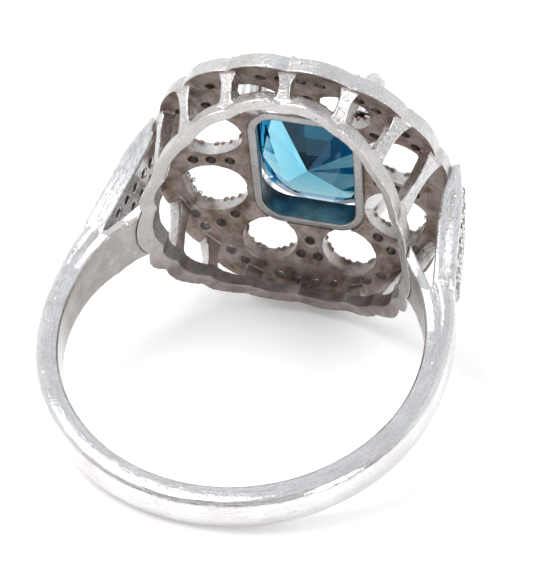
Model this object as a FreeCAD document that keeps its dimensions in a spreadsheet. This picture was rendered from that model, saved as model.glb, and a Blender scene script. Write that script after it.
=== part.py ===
import FreeCAD, Part
import Sketcher
import math
import os
from FreeCAD import Vector

# Cocktail ring: an open-work halo head with a cushion stone, a pierced
# gallery and a forked, stone-set shank.
# Frame: origin at the centre of the finger hole, Y along the finger,
# +Z up to the head, X across the band.  Millimetres.

doc = FreeCAD.newDocument("cocktail_ring")
sheet = doc.addObject("Spreadsheet::Sheet", "dims")

DIMS = [
    # finger hole and band
    ("finger_radius", 8.7),
    ("band_outer_radius", 9.92),
    ("band_half_width", 1.0),
    ("band_mid_half_width", 1.17),
    ("band_top_half_width", 1.5),
    ("split_angle", 24.4),
    ("band_blank_width", 3.6),
    ("band_round", 0.42),
    # forked shoulders
    ("shoulder_blank_width", 4.8),
    ("shoulder_low_half_width", 1.5),
    ("shoulder_top_half_width", 2.15),
    ("under_arm_radius", 9.22),
    ("under_arm_half_width", 1.56),
    # gallery rail
    ("rail_half_x", 6.6),
    ("rail_half_y", 7.17),
    ("rail_width", 0.66),
    ("rail_outer_radius", 9.45),
    ("rail_scallop", 0.12),
    # halo plate
    ("halo_half_x", 7.8),
    ("halo_half_y", 8.5),
    ("halo_top", 12.5),
    ("halo_thickness", 0.92),
    ("halo_scallop", 0.2),
    ("halo_band", 1.12),
    ("dome_radius_x", 31.25),
    ("dome_radius_y", 23.8),
    # gallery posts
    ("post_width", 0.62),
    ("post_depth", 0.7),
    ("post_flare", 1.32),
    # centre setting
    ("collet_low_x", 2.53),
    ("collet_low_y", 3.6),
    ("collet_high_x", 3.15),
    ("collet_high_y", 4.12),
    ("collet_wall", 0.42),
    ("setting_shift", 0.15),
    ("collet_bottom", 11.3),
    ("collet_height", 1.95),
    ("claw_radius", 0.46),
    ("claw_tip_radius", 0.5),
    # stones
    ("stone_width", 7.0),
    ("stone_length", 9.0),
    ("stone_corner", 2.0),
    ("stone_culet", 11.5),
    ("stone_girdle", 13.5),
    ("stone_girdle_band", 0.2),
    ("stone_crown", 1.3),
    ("pave_radius", 0.47),
    ("pave_pavilion", 0.41),
    ("pave_crown", 0.16),
    ("rib_pave_scale", 0.85),
    ("azure_radius", 0.25),
    ("bead_radius", 0.15),
    ("bead_offset", 0.42),
]
for row, (alias, number) in enumerate(DIMS, start=1):
    sheet.set("A%d" % row, alias)
    sheet.set("B%d" % row, repr(number))
    sheet.setAlias("B%d" % row, alias)
doc.recompute()


def dim(alias):
    return float(sheet.get(alias))


# ---------------------------------------------------------------- helpers

def new_body(label):
    body = doc.addObject("PartDesign::Body", label)
    body.Label = label
    return body


def new_sketch(body, name, role):
    sk = body.newObject("Sketcher::SketchObject", name)
    plane = [f for f in body.Origin.OriginFeatures if f.Role == role][0]
    sk.AttachmentSupport = [(plane, "")]
    sk.MapMode = "FlatFace"
    return sk


def v2(p):
    return Vector(p[0], p[1], 0)


def add_polyline(sk, pts, close=True):
    n = len(pts)
    for i in range(n if close else n - 1):
        sk.addGeometry(Part.LineSegment(v2(pts[i]), v2(pts[(i + 1) % n])), False)


def add_spline(sk, pts, periodic=False):
    curve = Part.BSplineCurve()
    curve.interpolate(Points=[v2(p) for p in pts], PeriodicFlag=periodic)
    sk.addGeometry(curve, False)


def add_circle(sk, alias=None, radius=None):
    r = dim(alias) if alias else radius
    idx = sk.addGeometry(Part.Circle(Vector(0, 0, 0), Vector(0, 0, 1), r), False)
    con = Sketcher.Constraint
    sk.addConstraint(con("Coincident", idx, 3, -1, 1))
    c = sk.addConstraint(con("Radius", idx, r))
    if alias:
        name = "radius_%d" % c
        sk.renameConstraint(c, name)
        sk.setExpression("Constraints." + name, "dims." + alias)


def add_rounded_box(sk, hx, hy, r):
    k = r * math.sqrt(0.5)
    corners = [(1, 1), (-1, 1), (-1, -1), (1, -1)]
    pts = []
    for sx, sy in corners:
        cx, cy = sx * (hx - r), sy * (hy - r)
        a = (cx + sx * r, cy)
        m = (cx + sx * k, cy + sy * k)
        b = (cx, cy + sy * r)
        pts.append((a, m, b) if sx * sy > 0 else (b, m, a))
    for i, (a, m, b) in enumerate(pts):
        sk.addGeometry(Part.ArcOfCircle(v2(a), v2(m), v2(b)), False)
        nxt = pts[(i + 1) % 4][0]
        sk.addGeometry(Part.LineSegment(v2(b), v2(nxt)), False)


def pad(body, sk, name, length, symmetric=True):
    f = body.newObject("PartDesign::Pad", name)
    f.Profile = sk
    f.Length = dim(length) if isinstance(length, str) else length
    if isinstance(length, str):
        f.setExpression("Length", "dims." + length)
    f.Midplane = symmetric
    return f


def through_pocket(body, sk, name):
    before = body.Shape.Volume if body.Shape and not body.Shape.isNull() else 0.0
    f = body.newObject("PartDesign::Pocket", name)
    f.Profile = sk
    f.Type = "Length"
    f.Length = 60.0
    f.Midplane = True
    doc.recompute()
    if not body.Shape.Volume < before - 1e-3:
        raise RuntimeError("%s removes nothing" % name)
    return f


def feature(label, shape):
    obj = doc.addObject("Part::Feature", label)
    obj.Label = label
    obj.Shape = shape
    obj.Placement = FreeCAD.Placement()
    return obj


def compound(shapes):
    return Part.makeCompound(list(shapes))


def solids_of(shape):
    return compound(s for s in shape.Solids if s.Volume > 1e-4)


def round_edges(body, name, chosen, radius_alias=None, radius=None):
    doc.recompute()
    names = ["Edge%d" % (i + 1) for i, e in enumerate(body.Tip.Shape.Edges)
             if chosen(e)]
    f = body.newObject("PartDesign::Fillet", name)
    f.Base = (f.BaseFeature, names)
    f.Radius = dim(radius_alias) if radius_alias else radius
    if radius_alias:
        f.setExpression("Radius", "dims." + radius_alias)
    doc.recompute()
    return f


R = dim("finger_radius")
ANG = math.radians(dim("split_angle"))

# ------------------------------------------------- plan curves of the head

def superellipse_r(phi, a, b, n):
    c, s = abs(math.cos(phi)), abs(math.sin(phi))
    return ((c / a) ** n + (s / b) ** n) ** (-1.0 / n)


HALO_N, RAIL_N = 2.1, 2.12


def halo_r(phi):
    return superellipse_r(phi, dim("halo_half_x"), dim("halo_half_y"), HALO_N)


def rail_r(phi):
    return superellipse_r(phi, dim("rail_half_x"), dim("rail_half_y"), RAIL_N)


def polar(r, phi):
    return (r * math.cos(phi), r * math.sin(phi))


# Post directions, in degrees from +X, at the rail and at the halo.
POST_RAIL_Q = [28.0, 49.5, 68.0]
POST_HALO_Q = [26.0, 47.0, 68.5]


def around(quarter):
    q = list(quarter)
    up = q + [90.0] + [180.0 - a for a in reversed(q)]
    return up + [a + 180.0 for a in up]


POST_RAIL = around(POST_RAIL_Q)
POST_HALO = around(POST_HALO_Q)


def scallop_outline(radius, cusps, amp, dip):
    """Arcs that bulge between the cusps, as three-point lists."""
    arcs = []
    n = len(cusps)
    for i in range(n):
        a0 = math.radians(cusps[i])
        a1 = math.radians(cusps[(i + 1) % n] + (360.0 if i + 1 == n else 0.0))
        am = 0.5 * (a0 + a1)
        arcs.append((polar(radius(a0) - dip, a0), polar(radius(am) + amp, am),
                     polar(radius(a1) - dip, a1)))
    return arcs


def add_arcs(sk, arcs):
    for a, m, b in arcs:
        sk.addGeometry(Part.ArcOfCircle(v2(a), v2(m), v2(b)), False)


def with_sides(angles, side):
    out = sorted(a % 360.0 for a in angles + [side, 180.0 - side, 180.0 + side, 360.0 - side])
    return out


HALO_CUSPS = with_sides(POST_HALO, 13.0)
RAIL_CUSPS = with_sides(POST_RAIL, 13.5)

# ------------------------------------------------------------ the dome

RX, RY = dim("dome_radius_x"), dim("dome_radius_y")
TOP, THICK = dim("halo_top"), dim("halo_thickness")
AXIS_Z = TOP - RX


def dome_z(x, y, depth=0.0):
    rho = TOP - RY + math.sqrt((RY - depth) ** 2 - y * y) - AXIS_Z
    return AXIS_Z + math.sqrt(rho * rho - x * x)


def dome_normal(x, y):
    e = 1e-3
    nx = -(dome_z(x + e, y) - dome_z(x - e, y)) / (2 * e)
    ny = -(dome_z(x, y + e) - dome_z(x, y - e)) / (2 * e)
    n = Vector(nx, ny, 1.0)
    n.normalize()
    return n


def domed_slab(body, prefix):
    """Doubly curved slab: a curved strip turned about an axis along Y."""
    sk = new_sketch(body, prefix + "_section", "YZ_Plane")
    y = 9.6
    c = TOP - RY

    def at(radius, yy):
        return (yy, c + math.sqrt(radius * radius - yy * yy))

    add = sk.addGeometry
    add(Part.ArcOfCircle(v2(at(RY, -y)), v2(at(RY, 0)), v2(at(RY, y))), False)
    add(Part.LineSegment(v2(at(RY, y)), v2(at(RY - THICK, y))), False)
    add(Part.ArcOfCircle(v2(at(RY - THICK, y)), v2(at(RY - THICK, 0)),
                         v2(at(RY - THICK, -y))), False)
    add(Part.LineSegment(v2(at(RY - THICK, -y)), v2(at(RY, -y))), False)
    sk.addGeometry(Part.LineSegment(Vector(-12, AXIS_Z, 0), Vector(12, AXIS_Z, 0)), True)
    rev = body.newObject("PartDesign::Revolution", prefix + "_dome")
    rev.Profile = sk
    rev.ReferenceAxis = (sk, ["Axis0"])
    rev.Angle = 36.0
    rev.Midplane = True
    doc.recompute()
    return rev


# --------------------------------------------------------- stone positions

def row_positions(inset, count):
    """Points spaced evenly along the halo's edge, set in by inset."""
    steps = 3600
    pts = []
    for i in range(steps + 1):
        a = 2 * math.pi * i / steps
        pts.append(polar(halo_r(a) - inset, a))
    run = [0.0]
    for p, q in zip(pts, pts[1:]):
        run.append(run[-1] + math.dist(p, q))
    out, j = [], 0
    for k in range(count):
        want = run[-1] * k / count
        while run[j] < want:
            j += 1
        out.append(pts[j])
    return out


BORDER = row_positions(0.7, 46)

# The centre setting stands a little to the +X side of the head's middle, and
# the openings and stones at the ends of the head follow it.
SHIFT = dim("setting_shift")
RIB = [(4.1, 0.0), (5.12, 0.0), (6.08, 0.0)]
RIB_POINTS = []
for sx in (1, -1):
    RIB_POINTS += [(sx * x, 0.0) for x, _ in RIB]
for sy in (1, -1):
    RIB_POINTS += [(SHIFT, sy * 5.2), (SHIFT - 0.5, sy * 6.15), (SHIFT + 0.5, sy * 6.15)]
for sx in (1, -1):
    for sy in (1, -1):
        RIB_POINTS += [(sx * 4.03, sy * 3.93), (sx * 4.8, sy * 4.6)]

# Petal openings: centre, half sizes, turn in degrees (first quadrant), and
# whether they follow the centre setting.
PETALS_Q = [((5.0, 2.02), (1.82, 1.58), 4.0, 0.0), ((2.2, 5.2), (1.5, 1.36), 16.0, 1.0)]

# ---------------------------------------------------------------- cutters

PR = dim("pave_radius")
PD = dim("pave_pavilion")
SLOPE = (PR - 0.02) / PD
AZ = dim("azure_radius")
CLEAR = 0.012


def stone_shape(pos, direction, size=1.0):
    r = PR * size
    crown = Part.makeCone(r, r * 0.58, dim("pave_crown") * size, pos + direction * 0.03, direction)
    belt = Part.makeCylinder(r, 0.03, pos, direction)
    under = Part.makeCone(r, 0.02, PD * size, pos, direction * -1)
    return under.fuse([belt, crown]).removeSplitter()


def seat_shape(pos, direction, through, size=1.0):
    """Straight opening above the girdle, conical seat below it, and the
    drilled hole that lets light in from behind."""
    r = PR * size + CLEAR
    depth = (r - AZ) / SLOPE
    top = Part.makeCylinder(r, 0.9, pos - direction * 0.005, direction)
    seat = Part.makeCone(r, AZ, depth, pos, direction * -1)
    parts = [seat]
    if through:
        parts.append(Part.makeCylinder(AZ, 2.6, pos - direction * (depth - 0.01), direction * -1))
    else:
        parts.append(Part.makeCone(AZ, 0.03, (AZ - 0.03) / SLOPE, pos - direction * (depth - 0.0001), direction * -1))
    return top.fuse(parts)


def on_dome(p, sink=0.05):
    n = dome_normal(p[0], p[1])
    return Vector(p[0], p[1], dome_z(p[0], p[1])) - n * sink, n


def clear_of_posts(p, reach=0.62):
    for deg in POST_HALO:
        a = math.radians(deg)
        q = polar(halo_r(a) - 0.32, a)
        if math.dist(p, q) < reach:
            return False
    return abs(p[1]) > 2.2 or abs(p[0]) < 6.8


border_sites = [(on_dome(p), clear_of_posts(p)) for p in BORDER]
rib_sites = [(on_dome(p), True) for p in RIB_POINTS]

border_cut = feature("border_cutters", compound(seat_shape(s[0], s[1], t) for s, t in border_sites))
RIB_SIZE = dim("rib_pave_scale")
rib_cut = feature("rib_cutters", compound(seat_shape(s[0], s[1], t, RIB_SIZE) for s, t in rib_sites))

# ----------------------------------------------------------- halo border

body = new_body("halo_border_blank")
domed_slab(body, "border")
sk = new_sketch(body, "border_outer", "XY_Plane")
sk.addGeometry(Part.Circle(Vector(0, 0, 0), Vector(0, 0, 1), 16.0), False)
add_arcs(sk, scallop_outline(halo_r, HALO_CUSPS, dim("halo_scallop"), 0.06))
through_pocket(body, sk, "border_outer_cut")
sk = new_sketch(body, "border_inner", "XY_Plane")
inner_pts = [polar(halo_r(math.radians(a)) - dim("halo_band"), math.radians(a)) for a in range(0, 360, 10)]
add_spline(sk, inner_pts, periodic=True)
through_pocket(body, sk, "border_inner_cut")
border = doc.addObject("Part::Cut", "halo_border")
border.Label = "halo_border"
border.Base = body
border.Tool = border_cut
doc.recompute()

# --------------------------------------------------------- petal lattice

body = new_body("petal_lattice_blank")
domed_slab(body, "lattice")
sk = new_sketch(body, "lattice_outer", "XY_Plane")
sk.addGeometry(Part.Circle(Vector(0, 0, 0), Vector(0, 0, 1), 16.0), False)
add_spline(sk, inner_pts, periodic=True)
through_pocket(body, sk, "lattice_outer_cut")
sk = new_sketch(body, "lattice_petals", "XY_Plane")
for (cx, cy), (ha, hb), turn, follow in PETALS_Q:
    for sx in (1, -1):
        for sy in (1, -1):
            t = math.radians(turn) * sx * sy
            major = Vector(math.cos(t), math.sin(t), 0)
            c = Vector(sx * cx + follow * SHIFT, sy * cy, 0)
            e = Part.Ellipse(c + major * ha, c + Vector(-major.y, major.x, 0) * hb, c)
            sk.addGeometry(e, False)
through_pocket(body, sk, "petal_openings")
sk = new_sketch(body, "lattice_centre", "XY_Plane")
wall = dim("collet_wall")
add_rounded_box(sk, dim("collet_low_x") + wall, dim("collet_low_y") + wall, 1.5)
sk.setExpression(".AttachmentOffset.Base.x", "dims.setting_shift")
through_pocket(body, sk, "lattice_centre_cut")
lattice = doc.addObject("Part::Cut", "petal_lattice_cut")
lattice.Base = body
lattice.Tool = rib_cut
doc.recompute()

# ---------------------------------------------------------- centre collet

body = new_body("centre_collet")


def collet_sketch(name, hx, hy, r, z_expr):
    sk = new_sketch(body, name, "XY_Plane")
    add_rounded_box(sk, hx, hy, r)
    sk.setExpression(".AttachmentOffset.Base.z", z_expr)
    sk.setExpression(".AttachmentOffset.Base.x", "dims.setting_shift")
    return sk


zb, zt = "dims.collet_bottom", "dims.collet_bottom + dims.collet_height"
lo = collet_sketch("collet_foot", dim("collet_low_x") + wall, dim("collet_low_y") + wall, 1.5, zb)
hi = collet_sketch("collet_mouth", dim("collet_high_x") + wall, dim("collet_high_y") + wall, 1.95, zt)
loft = body.newObject("PartDesign::AdditiveLoft", "collet_wall_loft")
loft.Profile = lo
loft.Sections = [hi]
loft.Ruled = True
doc.recompute()
lo = collet_sketch("collet_light_hole", dim("collet_low_x"), dim("collet_low_y"), 1.1, zb)
hi = collet_sketch("collet_seat", dim("collet_high_x"), dim("collet_high_y"), 1.6, zt)
cut = body.newObject("PartDesign::SubtractiveLoft", "collet_bore")
cut.Profile = lo
cut.Sections = [hi]
cut.Ruled = True
doc.recompute()
collet = body

fit = doc.addObject("Part::Cut", "petal_lattice")
fit.Label = "petal_lattice"
fit.Base = lattice
fit.Tool = feature("collet_space", Part.makeSolid(Part.makeLoft([
    s.Shape.Wires[0] for s in (doc.getObject("collet_foot"), doc.getObject("collet_mouth"))], True, True)))
doc.recompute()

# ------------------------------------------------------------------ band

def band_section(body, name, angle, outer, half_w, edge):
    """Cross-section of the band on the half plane at this angle from +X:
    flat sides, crowned outside, rounded corners."""
    sk = new_sketch(body, name, "XY_Plane")
    turn = FreeCAD.Rotation(Vector(0, 1, 0), -angle)
    sk.AttachmentOffset = FreeCAD.Placement(Vector(0, 0, 0), turn)
    x0, k = R - 0.2, edge * (1 - math.sqrt(0.5))
    crown = 0.05
    side = outer - crown - edge
    sk.addGeometry(Part.LineSegment(v2((x0, half_w)), v2((x0, -half_w))), False)
    sk.addGeometry(Part.LineSegment(v2((x0, -half_w)), v2((side, -half_w))), False)
    sk.addGeometry(Part.ArcOfCircle(v2((side, -half_w)), v2((side + edge - k, -half_w + k)),
                                    v2((side + edge, -half_w + edge))), False)
    sk.addGeometry(Part.ArcOfCircle(v2((side + edge, -half_w + edge)), v2((outer, 0)),
                                    v2((side + edge, half_w - edge))), False)
    sk.addGeometry(Part.ArcOfCircle(v2((side + edge, half_w - edge)), v2((side + edge - k, half_w - k)),
                                    v2((side, half_w))), False)
    sk.addGeometry(Part.LineSegment(v2((side, half_w)), v2((x0, half_w))), False)
    return sk


body = new_body("shank")
w0, w1, w2 = dim("band_half_width"), dim("band_mid_half_width"), dim("band_top_half_width")
ro, edge = dim("band_outer_radius"), dim("band_round")
LOW = -20.0
sk = band_section(body, "band_section_low", LOW, ro, w0, edge)
hoop = body.newObject("PartDesign::Revolution", "band_hoop")
hoop.Profile = sk
hoop.ReferenceAxis = ([f for f in body.Origin.OriginFeatures if f.Role == "Y_Axis"][0], [""])
hoop.Angle = 180.0 + 2 * LOW
doc.recompute()
if body.Shape.BoundBox.ZMax > 0:
    hoop.Reversed = True
    doc.recompute()
GROW = [(LOW, ro, w0, edge), (-12.0, ro + 0.005, w0 + 0.02, edge), (-4.0, ro + 0.03, w0 + 0.09, edge),
        (4.0, ro + 0.07, w1, edge), (11.0, ro + 0.17, w1 + 0.08, edge * 0.95),
        (18.0, ro + 0.32, w1 + 0.2, edge * 0.85), (dim("split_angle"), ro + 0.43, w2, edge * 0.75)]
for side_name, flip in (("right", False), ("left", True)):
    sections = []
    for i, (ang, out_r, hw, ed) in enumerate(GROW):
        sections.append(band_section(body, "band_%s_%d" % (side_name, i), 180.0 - ang if flip else ang, out_r, hw, ed))
    grow = body.newObject("PartDesign::AdditiveLoft", "band_%s_rise" % side_name)
    grow.Profile = sections[0]
    grow.Sections = sections[1:]
    doc.recompute()
sk = new_sketch(body, "finger_hole", "XZ_Plane")
add_circle(sk, "finger_radius")
through_pocket(body, sk, "finger_hole_cut")
shank = body


def taper_sketch(body, name, profile):
    """Region outside the half width, both sides, seen along X."""
    sk = new_sketch(body, name, "YZ_Plane")
    for s in (1, -1):
        pts = [(s * w, z) for w, z in profile]
        add_spline(sk, pts)
        add_polyline(sk, [pts[-1], (s * 6.0, pts[-1][1]), (s * 6.0, pts[0][1]), pts[0]], close=False)
    return sk


# -------------------------------------------------------- under-arms (2)


def under_arm(label, s):
    body = new_body(label)
    sk = new_sketch(body, label + "_outline", "XZ_Plane")
    r2 = dim("under_arm_radius")
    a1 = math.radians(43.0)

    def q(r, a):
        x, z = polar(r, a)
        return (s * x, z)

    am = 0.5 * (ANG + a1)
    sk.addGeometry(Part.ArcOfCircle(v2(q(R, ANG)), v2(q(R, am)), v2(q(R, a1))), False)
    sk.addGeometry(Part.LineSegment(v2(q(R, a1)), v2(q(r2, a1))), False)
    sk.addGeometry(Part.ArcOfCircle(v2(q(r2, a1)), v2(q(r2, am)), v2(q(r2, ANG))), False)
    sk.addGeometry(Part.LineSegment(v2(q(r2, ANG)), v2(q(R, ANG))), False)
    pad(body, sk, label + "_pad", "shoulder_blank_width")
    doc.recompute()
    wa = dim("under_arm_half_width")
    sk = taper_sketch(body, label + "_taper", [(w2 - 0.12, 3.0), (w2 + 0.0, 4.2), (wa, 5.2), (wa + 0.12, 5.7), (wa + 0.5, 6.4)])
    through_pocket(body, sk, label + "_taper_cut")
    return body


# ------------------------------------------------------------ gallery rail

body = new_body("gallery_rail")
sk = new_sketch(body, "rail_plan", "XY_Plane")
rw = dim("rail_width")
sc = dim("rail_scallop")
add_arcs(sk, scallop_outline(lambda a: rail_r(a) + rw / 2, RAIL_CUSPS, sc, 0.08))
add_arcs(sk, scallop_outline(lambda a: rail_r(a) - rw / 2, RAIL_CUSPS, sc, 0.06))
pad(body, sk, "rail_pad", 24.0)
doc.recompute()
sk = new_sketch(body, "rail_finger_space", "XZ_Plane")
add_circle(sk, "finger_radius")
through_pocket(body, sk, "rail_finger_cut")
sk = new_sketch(body, "rail_top_face", "XZ_Plane")
add_circle(sk, "rail_outer_radius")
add_circle(sk, radius=26.0)
through_pocket(body, sk, "rail_top_cut")
sk = new_sketch(body, "rail_lower_half", "XZ_Plane")
add_polyline(sk, [(-20, 0), (20, 0), (20, -20), (-20, -20)])
through_pocket(body, sk, "rail_lower_cut")
rail = body

arms = []
for label, s in (("left_under_arm", -1), ("right_under_arm", 1)):
    blank = under_arm(label + "_blank", s)
    fitted = doc.addObject("Part::Cut", label)
    fitted.Label = label
    fitted.Base = blank
    fitted.Tool = feature(label + "_rail_space", rail.Shape.fuse([
        Part.makeBox(6.6, 8, 12, Vector(0 if s > 0 else -6.6, -4, 0))]))
    arms.append(fitted)
doc.recompute()

# ------------------------------------------------------- shoulders (2)

ARM_OUT = [(9.42, 4.27), (9.27, 5.2), (9.1, 6.4), (8.92, 7.8), (8.72, 9.3), (8.46, 10.5), (8.1, 11.75)]
ARM_IN = [(7.42, 11.25), (7.62, 9.3), (7.76, 8.0), (7.98, 6.5), (8.2, 5.0)]


def arm_outer_x(z):
    pts = ARM_OUT
    for (x0, z0), (x1, z1) in zip(pts, pts[1:]):
        if z0 <= z <= z1:
            t = (z - z0) / (z1 - z0)
            return x0 + t * (x1 - x0), Vector(z1 - z0, 0, x0 - x1).normalize()
    raise ValueError(z)


def shoulder_half_width(z):
    lo, hi = dim("shoulder_low_half_width"), dim("shoulder_top_half_width")
    t = min(max((z - 4.0) / 7.0, 0.0), 1.0)
    return lo + (hi - lo) * math.sin(t * math.pi / 2)


SHOULDER_POINTS = []
for k in range(7):
    z = 5.5 + 0.95 * k
    SHOULDER_POINTS.append((0.0, z))
for k in range(6):
    z = 5.97 + 0.95 * k
    off = min(0.98, shoulder_half_width(z) - 0.66)
    SHOULDER_POINTS += [(off, z), (-off, z)]


def shoulder_sites(s):
    out = []
    for y, z in SHOULDER_POINTS:
        x, n = arm_outer_x(z)
        n = Vector(n.x, 0, n.z)
        p = Vector(x, y, z) - n * 0.02
        out.append((Vector(s * p.x, p.y, p.z), Vector(s * n.x, 0, n.z)))
    return out


shoulders = {}
for label, s in (("left_shoulder", -1), ("right_shoulder", 1)):
    body = new_body(label + "_blank")
    sk = new_sketch(body, label + "_outline", "XZ_Plane")
    foot = (s * dim("under_arm_radius") * math.cos(ANG), dim("under_arm_radius") * math.sin(ANG))
    out_pts = [(s * x, z) for x, z in ARM_OUT]
    in_pts = [(s * x, z) for x, z in ARM_IN]
    add_spline(sk, out_pts)
    sk.addGeometry(Part.LineSegment(v2(out_pts[-1]), v2(in_pts[0])), False)
    add_spline(sk, in_pts + [foot])
    sk.addGeometry(Part.LineSegment(v2(foot), v2(out_pts[0])), False)
    pad(body, sk, label + "_pad", "shoulder_blank_width")
    doc.recompute()
    prof = [(shoulder_half_width(z), z) for z in (3.0, 4.2, 5.4, 7.0, 9.0, 11.0, 12.4)]
    sk = taper_sketch(body, label + "_taper", prof)
    through_pocket(body, sk, label + "_taper_cut")
    sites = shoulder_sites(s)
    tool = feature(label + "_cutters", compound(seat_shape(p, n, True) for p, n in sites))
    drilled = doc.addObject("Part::Cut", label + "_drilled")
    drilled.Base = body
    drilled.Tool = tool
    plan = Part.Wire([Part.Edge(Part.ArcOfCircle(v2(a), v2(m), v2(b)))
                      for a, m, b in scallop_outline(halo_r, HALO_CUSPS, dim("halo_scallop"), 0.06)])
    head_space = Part.Face(plan).extrude(Vector(0, 0, 3.2))
    head_space.translate(Vector(0, 0, dome_z(dim("halo_half_x"), 1.5, THICK) - 0.12))
    fitted = doc.addObject("Part::Cut", label)
    fitted.Label = label
    fitted.Base = drilled
    fitted.Tool = feature(label + "_head_space", head_space)
    doc.recompute()
    shoulders[label] = (fitted, sites, body.Shape)

# ------------------------------------------------------------- posts (14)


def frame_section(centre, tangent, outward, w, d):
    a = tangent * (w / 2)
    b = outward * (d / 2)
    pts = [centre + a + b, centre - a + b, centre - a - b, centre + a - b]
    return Part.makePolygon(pts + [pts[0]])


def post(rail_deg, halo_deg):
    a0, a1 = math.radians(rail_deg), math.radians(halo_deg)
    x0, y0 = polar(rail_r(a0) - 0.04, a0)
    x1, y1 = polar(halo_r(a1) - 0.34, a1)
    z0 = math.sqrt(dim("rail_outer_radius") ** 2 - x0 * x0) - 0.39
    z1 = dome_z(x1, y1, THICK) + 0.3
    p0, p1 = Vector(x0, y0, z0), Vector(x1, y1, z1)
    radial = Vector(math.cos(a1), math.sin(a1), 0)
    along = (p1 - p0).normalize()
    tangent = along.cross(radial).normalize()
    outward = tangent.cross(along).normalize()
    w, d, fl = dim("post_width"), dim("post_depth"), dim("post_flare")
    steps = [(0.0, 1.5 * w), (0.2, 1.12 * w), (0.42, w), (0.62, 1.02 * w), (0.8, 0.34 * fl + 0.66 * w), (0.92, 0.72 * fl + 0.28 * w), (1.0, fl)]
    wires = [frame_section(p0 + (p1 - p0) * t, tangent, outward, ww, d) for t, ww in steps]
    return Part.makeLoft(wires, True, True)


slab_tool = doc.getObject("border_dome").Shape
rail_shape = rail.Shape
front, back = [], []
for a0, a1 in zip(POST_RAIL, POST_HALO):
    solid = post(a0, a1).cut([rail_shape, slab_tool])
    keep = max(solid.Solids, key=lambda q: q.Volume)
    (front if a0 > 180 else back).append(keep)
feature("gallery_posts_front", compound(front))
feature("gallery_posts_back", compound(back))

# ------------------------------------------------------------ centre stone

GZ, GB = dim("stone_girdle"), dim("stone_girdle_band")


def cushion_ring(scale_x, scale_y, z, count=24, sharp=2.7):
    hx, hy = dim("stone_width") / 2 * scale_x, dim("stone_length") / 2 * scale_y
    pts = []
    for i in range(count):
        a = 2 * math.pi * (i + 0.5) / count
        c, s_ = math.cos(a), math.sin(a)
        pts.append(Vector(SHIFT + hx * math.copysign(abs(c) ** (2 / sharp), c),
                          hy * math.copysign(abs(s_) ** (2 / sharp), s_), z))
    return pts


def cushion_stone():
    rings = [cushion_ring(1.0, 1.0, GZ), cushion_ring(1.0, 1.0, GZ + GB),
             cushion_ring(0.83, 0.86, GZ + GB + 0.5 * dim("stone_crown")),
             cushion_ring(0.6, 0.64, GZ + GB + dim("stone_crown"))]
    mid = cushion_ring(0.52, 0.5, GZ - 0.5 * (GZ - dim("stone_culet")))
    culet = Vector(SHIFT, 0, dim("stone_culet"))
    tris = []
    n = len(rings[0])

    def band(lo, hi):
        for i in range(n):
            j = (i + 1) % n
            tris.append((lo[i], lo[j], hi[j]))
            tris.append((lo[i], hi[j], hi[i]))

    band(mid, rings[0])
    for a, b in zip(rings, rings[1:]):
        band(a, b)
    for i in range(n):
        tris.append((culet, mid[(i + 1) % n], mid[i]))
    faces = [Part.Face(Part.makePolygon([a, b, c, a])) for a, b, c in tris]
    faces.append(Part.Face(Part.makePolygon(rings[-1] + [rings[-1][0]])))
    shell = Part.makeShell(faces)
    solid = Part.makeSolid(shell)
    if solid.Volume < 0:
        solid.reverse()
    return solid


stone = feature("centre_stone", cushion_stone())

# ----------------------------------------------------------- claws (4)

claws = []
collet_shape = collet.Shape
for sx in (1, -1):
    for sy in (1, -1):
        pts = [Vector(SHIFT + sx * 2.98, sy * 4.0, 12.1), Vector(SHIFT + sx * 3.2, sy * 4.26, 13.3),
               Vector(SHIFT + sx * 3.16, sy * 4.2, 14.15), Vector(SHIFT + sx * 2.86, sy * 3.86, 14.72)]
        rc, rt = dim("claw_radius"), dim("claw_tip_radius")
        parts = []
        for a, b in zip(pts, pts[1:]):
            parts.append(Part.makeCylinder(rc, (b - a).Length, a, b - a))
        for p in pts[1:-1]:
            parts.append(Part.makeSphere(rc, p))
        parts.append(Part.makeSphere(rt, pts[-1]))
        claw = parts[0].fuse(parts[1:])
        claw = claw.cut([collet_shape, stone.Shape, fit.Shape, slab_tool])
        claws.append(max(claw.Solids, key=lambda q: q.Volume))
feature("centre_claws", compound(claws))

# ------------------------------------------------- small stones and beads


def sector(p):
    a = math.degrees(math.atan2(p.y, p.x)) % 360
    if 45 <= a < 135:
        return "back"
    if 135 <= a < 225:
        return "left"
    if 225 <= a < 315:
        return "front"
    return "right"


groups = {}
for (p, n), _ in border_sites:
    groups.setdefault("border_stones_" + sector(p), []).append(stone_shape(p, n))
for (p, n), _ in rib_sites:
    if abs(p.y) < 0.1:
        name = "side_rib_stones"
    elif abs(p.x) < 1.0:
        name = "end_rib_stones"
    else:
        name = "corner_rib_stones"
    groups.setdefault(name, []).append(stone_shape(p, n, RIB_SIZE))
for label, (_, sites, _) in shoulders.items():
    groups[label + "_stones"] = [stone_shape(p, n) for p, n in sites]
for label, shapes in groups.items():
    feature(label, compound(shapes))

BR, BO = dim("bead_radius"), dim("bead_offset")
outer_beads, inner_beads = [], []
nb = len(BORDER)
for i in range(nb):
    p, q = BORDER[i], BORDER[(i + 1) % nb]
    m = (0.5 * (p[0] + q[0]), 0.5 * (p[1] + q[1]))
    a = math.atan2(m[1], m[0])
    for k, store in ((1, outer_beads), (-1, inner_beads)):
        c = (m[0] + k * BO * math.cos(a), m[1] + k * BO * math.sin(a))
        store.append((Vector(c[0], c[1], dome_z(*c) + 0.02), dome_normal(*c)))


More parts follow.
